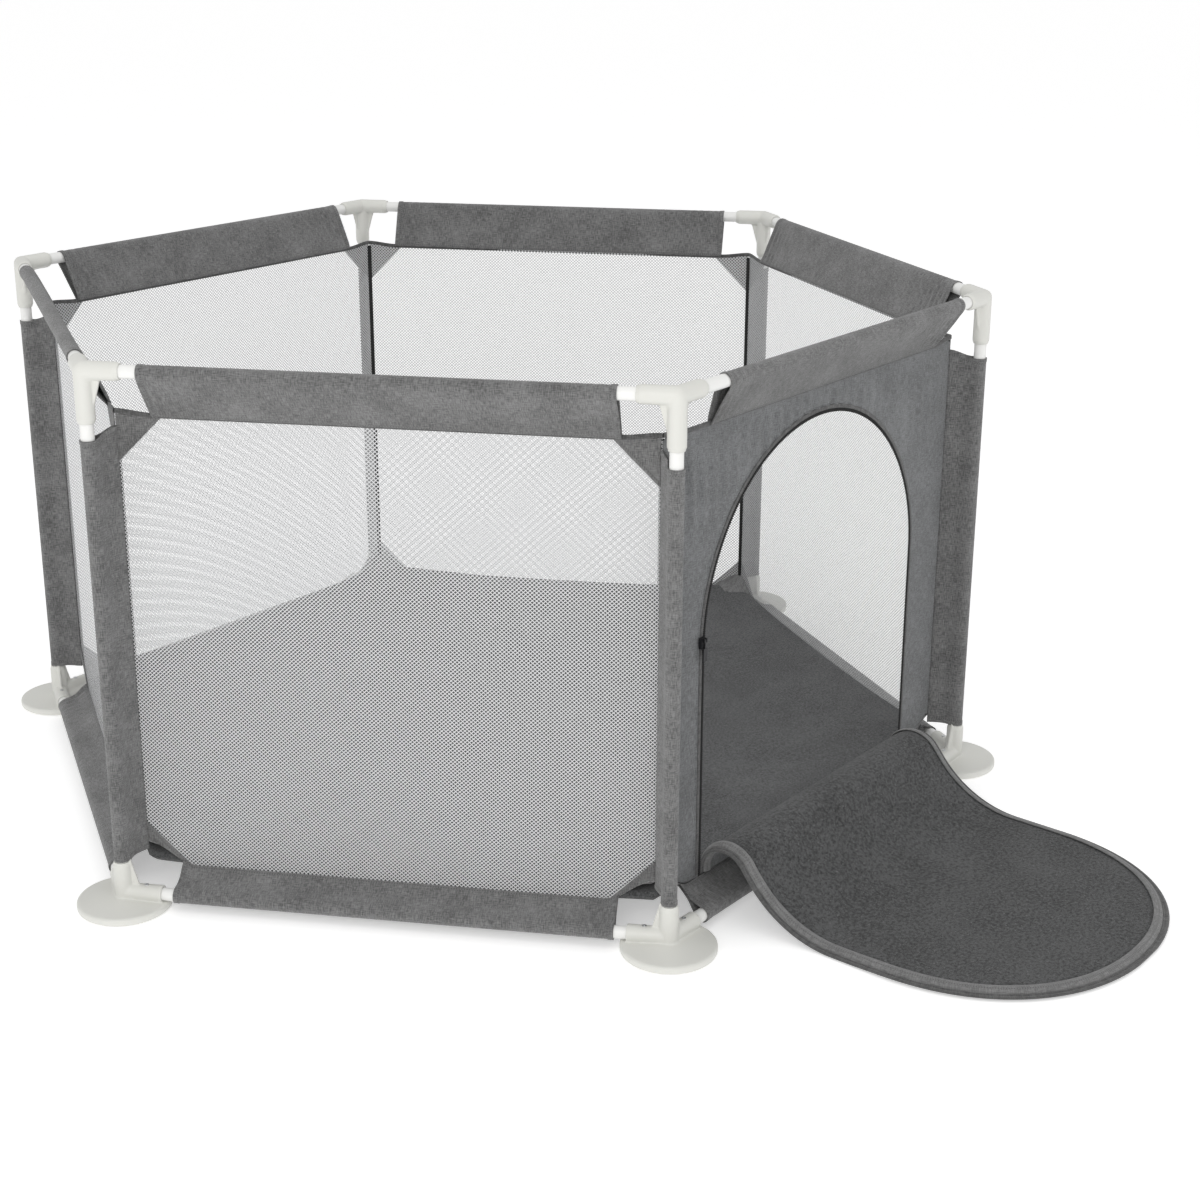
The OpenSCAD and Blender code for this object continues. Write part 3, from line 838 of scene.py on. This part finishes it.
def matGrid(sideUp, look):
    # One face of the mat. Height above its middle = half thick * (1 - (1 - e / edge)^3)^(1/3), with e the
    # distance to the nearest side, less dent * exp(-(y - fold)^2 / wide^2) at the folds. The upper face adds
    # crown / 2 * |sin(pi y / fold)| and ripple, and both rise by lift in the corners.
    low, high = lowHigh("floor_mat", 2)
    apothem = lowHigh("floor_mat", 1)[1] - penMiddle[1]
    corner = apothem / math.cos(math.pi / 6)
    across = 2 * spread(150, 0.45) - 1
    y = apothem * across[:, None]
    x = (corner - np.abs(y) * math.tan(math.pi / 6)) * across[None]
    y = y + 0 * x
    e = np.full_like(x, corner)
    for i in range(6):
        turn = math.radians(60 * i)
        e = np.minimum(e, apothem - (x * math.sin(turn) - y * math.cos(turn)))
    fat = np.clip(1 - (1 - np.clip(e / look["edge"], 0, 1)) ** 3, 0, 1) ** (1 / 3)
    fold = np.zeros_like(x)
    for place in (-look["fold"], 0.0, look["fold"]):
        fold = fold + np.exp(-((y - place) / look["dentWide"]) ** 2)
    z = (high + low) / 2 + sideUp * ((high - low) / 2 * fat - look["dent"] * fold * fat)
    if sideUp > 0:
        swell = look["crown"] * np.abs(np.sin(math.pi * (y / look["fold"]))) * 0.5
        z = z + swell * step(e, 0, look["crownReach"]) - look["crown"] * 0.25
        z = z + look["ripple"] * ripple(x * 30, y * 34, 21) * step(e, 0, look["rippleReach"])
    z = z + look["lift"] * step(np.hypot(x, y), apothem * look["liftFrom"], corner)
    return np.stack([x, y, z], axis=-1) + penMiddle, np.stack([x, y], axis=-1)


def floorMat(look):
    # The upper face and the lower one, which is turned over so that it faces down.
    top, low = matGrid(1, look), matGrid(-1, look)
    piece = makePiece("floorMat", [top, (low[0][:, ::-1], low[1][:, ::-1])], matFelt)
    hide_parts("floor_mat", "mat_foam_boards")


floorMat(matLook)


coverLook = {
    "wide": 0.037, "inset": 0.035, "beyond": 0.0012, "above": 0.0025, "drop": 0.013, "follow": 0.35,
    "thick": 0.0009,
}


def floorCover(look):
    # The floor cloth turned up all round, a strip from the mat's underside (q = 0) to the hem (q = 1):
    # z = hem + above - drop * (1 - q^2) - follow * (hem - low) * (1 - q), moved in by inset * (1 - q).
    made = []
    x = wallHalf * np.linspace(-1, 1, 120)
    q = np.linspace(0, 1, 14)[:, None]
    rise = hem(x)[None] - hemLook["low"]
    z = hem(x)[None] + look["above"] - look["drop"] * (1 - q ** 2) - look["follow"] * rise * (1 - q)
    share = 1 + (look["beyond"] - look["inset"] * (1 - q)) / wallDistance
    points = np.stack([x[None] * share, -wallDistance * share + 0 * z, z], axis=-1)
    uv = np.stack(np.broadcast_arrays(x[None], q * look["wide"]), axis=-1)
    for i in range(6):
        made.append((onSide(points, i), uv))
    piece = makePiece("floorCover", made, floorCloth, thick=look["thick"])


floorCover(coverLook)
print("floor")


# ---------- door flap ----------

flapLook = {
    "hump": 0.036, "land": 0.150, "slope": 52, "thick": 0.0085, "edge": 0.0045, "square": 2.15,
    "root": 0.006, "wave": 0.0018, "waveIn": (0.03, 0.10), "waveOut": (0.26, 0.34), "lean": 0.002,
    "band": 0.0105, "rim": 0.0078,
    "skinThick": 0.0008, "quilt": 0.00072, "quiltWide": 0.003, "nap": 0.0006,
}


def flapCurve(look):
    # The flap's middle line as (y, z) and its upward normal: sill, over the rail on an arc of radius hump,
    # down at slope degrees, on to the ground on an arc of radius land, and flat to the tip.
    crest = lowHigh("door_flap_bend", 2)[1] - look["thick"] / 2
    top = np.radians(np.linspace(0, 90 + look["slope"], 60))
    foot = np.radians(np.linspace(270 + look["slope"], 270, 60))
    hump, land = look["hump"], look["land"]
    humpY, humpZ = -wallDistance - hump, crest - hump
    path = np.concatenate([
        [[humpY + hump, hemLook["low"] + look["root"]]],
        np.stack([humpY + hump * np.cos(top), humpZ + hump * np.sin(top)], axis=-1),
        np.stack([landY + land * np.cos(foot), flapZ + land + land * np.sin(foot)], axis=-1),
        [[flapTipY, flapZ]],
    ])
    path, run = resample(path, 1400)
    along = np.gradient(path, axis=0)
    along /= np.linalg.norm(along, axis=1, keepdims=True)
    return path, np.stack([along[:, 1], -along[:, 0]], axis=-1), run


flapLine, flapUp, flapRun = flapCurve(flapLook)


def onFlap(x, s, h):
    # A point x across the flap, s along its curve and h + wave * ripple above its middle surface, moved
    # sideways by lean * (s / length)^2. The wave comes in after the sill and goes out before the ground.
    put = [np.interp(s, flapRun, part) for part in (*flapLine.T, *flapUp.T)]
    share = step(s, *flapLook["waveIn"]) * (1 - step(s, *flapLook["waveOut"]))
    wave = flapLook["wave"] * ripple(x * 7, s * 9, 31) * share
    y = put[0] + put[2] * (h + wave)
    z = put[1] + put[3] * (h + wave)
    lean = flapLook["lean"] * (s / flapRun[-1]) ** 2
    return onSide(np.stack([x + lean + 0 * y, y, z], axis=-1), 0)


def flapOutline(n):
    # Out along the left side, round the tip on |x|^square + |y|^square = 1 and back along the right side,
    # with the spine point that each point lies out from.
    straight = flapRun[-1] - flapHalf
    a = np.linspace(math.pi, 0, 160)
    c, s = (np.sign(part) * np.abs(part) ** (2 / flapLook["square"]) for part in (np.cos(a), np.sin(a)))
    path = np.concatenate([
        [[-flapHalf, 0.0]],
        np.stack([flapHalf * c, straight + flapHalf * s], axis=-1),
        [[flapHalf, 0.0]],
    ])
    path, run = resample(path, n)
    spine = np.stack([0 * run, np.minimum(path[:, 1], straight)], axis=-1)
    return path, spine, run


def roundEdge(inset, look):
    # (1 - (1 - inset / edge)^2)^(1/2), which is 1 from edge inwards.
    return np.sqrt(np.clip(1 - (1 - np.clip(inset / look["edge"], 0, 1)) ** 2, 0, 1))


def flapBody(look):
    # A pad whose half thickness is half thick * roundEdge(e), e the distance from the edge, less
    # quilt * exp(-(e - band)^2 / wide^2) along the binding, with nap * ripple on its upper face.
    outline, spine, run = flapOutline(340)
    inner, outer = np.linspace(0, 0.9, 26)[:-1], 1 - 0.1 * (1 - np.linspace(0, 1, 18)) ** 2
    k = np.concatenate([inner, outer])[None]
    flat = spine[:, None] + (outline - spine)[:, None] * k[..., None] * (1 - look["rim"] / flapHalf)
    e = flapHalf * (1 - k) + 0 * flat[..., 0]
    quilt = look["quilt"] * np.exp(-((e - look["band"]) / look["quiltWide"]) ** 2)
    half = (look["thick"] / 2 - look["skinThick"]) * roundEdge(e, look) - quilt
    nap = look["nap"] * ripple(flat[..., 0] * 26, flat[..., 1] * 26, 33)
    seam = np.stack([e - look["band"], run[:, None] + 0 * k], axis=-1)
    grids = []
    for side in (1, -1):
        points = onFlap(flat[..., 0], flat[..., 1], side * half + nap * (side > 0))
        grids.append((points[:, ::side], flat[:, ::side], seam[:, ::side]))
    piece = makePiece("doorFlap", grids, [flapFelt, doorLinen], body=None)
    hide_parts("door_flap", "door_flap_bend")
    return piece


bandLook = {
    "skin": 0.0011, "proud": 0.3, "fold": 1.6, "over": 0.0006,
    "pipe": 0.0008, "pipeAt": 0.0075, "pipeWide": 0.0030,
    "dip": 0.0005, "dipAt": 0.0022, "dipWide": 0.0010,
}


def flapBand(look, pad):
    # The binding folded over the edge. Its height is half thick * roundEdge(inset), plus
    # pipe * exp(-(inset - pipeAt)^2 / pipeWide^2), less the dip, which is the same with its own numbers.
    outline, spine, run = flapOutline(520)
    q = np.linspace(-1, 1, 41)[None]
    inset = pad["band"] * np.abs(q) ** look["fold"]
    ridge = look["pipe"] * np.exp(-((inset - look["pipeAt"]) / look["pipeWide"]) ** 2)
    ridge = ridge - look["dip"] * np.exp(-((inset - look["dipAt"]) / look["dipWide"]) ** 2)
    h = np.sign(q) * (pad["thick"] / 2 * roundEdge(inset, pad) + ridge + look["skin"] * look["proud"])
    share = 1 - (inset + pad["rim"] - look["over"]) / flapHalf
    flat = spine[:, None] + (outline - spine)[:, None] * share[..., None]
    points = onFlap(flat[..., 0], flat[..., 1], h)
    uv = np.stack([run[:, None] + 0 * q, q * pad["band"] + 0 * run[:, None]], axis=-1)
    seam = np.stack([pad["band"] - inset + 0 * run[:, None], run[:, None] + 0 * q], axis=-1)
    piece = makePiece("flapBinding", [(points, uv, seam)], tapeLinen, None, look["skin"])
    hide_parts("flap_binding")
    return piece


flapZipLook = {"lap": 0.0020, "overhang": 0.001, "thick": 0.0034, "drop": 0.0012, "valley": 0.45}


def flapZip(look, pad):
    # The flap's half of the zip: a flat tape beyond the binding, with the half thickness
    # half thick * |sin a|^(1/2) * (valley + (1 - valley) * |sin 2 pi w|), which makes two cords side by side,
    # where a runs round the section and w across the tape.
    outline, spine, run = flapOutline(900)
    a = np.linspace(0, 2 * math.pi, 33)[None]
    w = (1 - np.cos(a)) / 2
    wide = pad["rim"] + look["lap"]
    share = 1 - (wide * w - look["overhang"] + 0 * run[:, None]) / flapHalf
    flat = spine[:, None] + (outline - spine)[:, None] * share[..., None]
    cords = look["valley"] + (1 - look["valley"]) * np.abs(np.sin(2 * math.pi * w))
    h = look["thick"] / 2 * np.sign(np.sin(a)) * np.sqrt(np.abs(np.sin(a))) * cords - look["drop"]
    points = onFlap(flat[..., 0], flat[..., 1], h)
    uv = np.stack(np.broadcast_arrays(run[:, None], a * wide / math.pi), axis=-1)
    return makePiece("flapZip", [(points, uv)], darkTape, body=None)


flapPad = flapBody(flapLook)
flapTape = flapZip(flapZipLook, flapLook)
for piece in (flapPad, flapBand(bandLook, flapLook), flapTape):
    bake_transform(piece)
print("flap")


# ---------- stage ----------

floorLook = {"half": 30, "white": 0.9, "rough": 0.75, "glow": 0.36}


def setFloor(look):
    half = look["half"]
    data = bpy.data.meshes.new("floor")
    corners = [(-half, -half, 0), (half, -half, 0), (half, half, 0), (-half, half, 0)]
    data.from_pydata(corners, [], [(0, 1, 2, 3)])
    p = Paint("studio floor", Roughness=look["rough"], Base_Color=grey(look["white"]),
              Emission_Color=(1, 1, 1, 1), Emission_Strength=look["glow"])
    data.materials.append(p.material)
    floor = bpy.data.objects.new("floor", data)
    bpy.context.scene.collection.objects.link(floor)


setFloor(floorLook)
setCamera(cameraSettings)
setLights(lightSettings)
bpy.context.scene.view_settings.view_transform = "Standard"
print("stage")
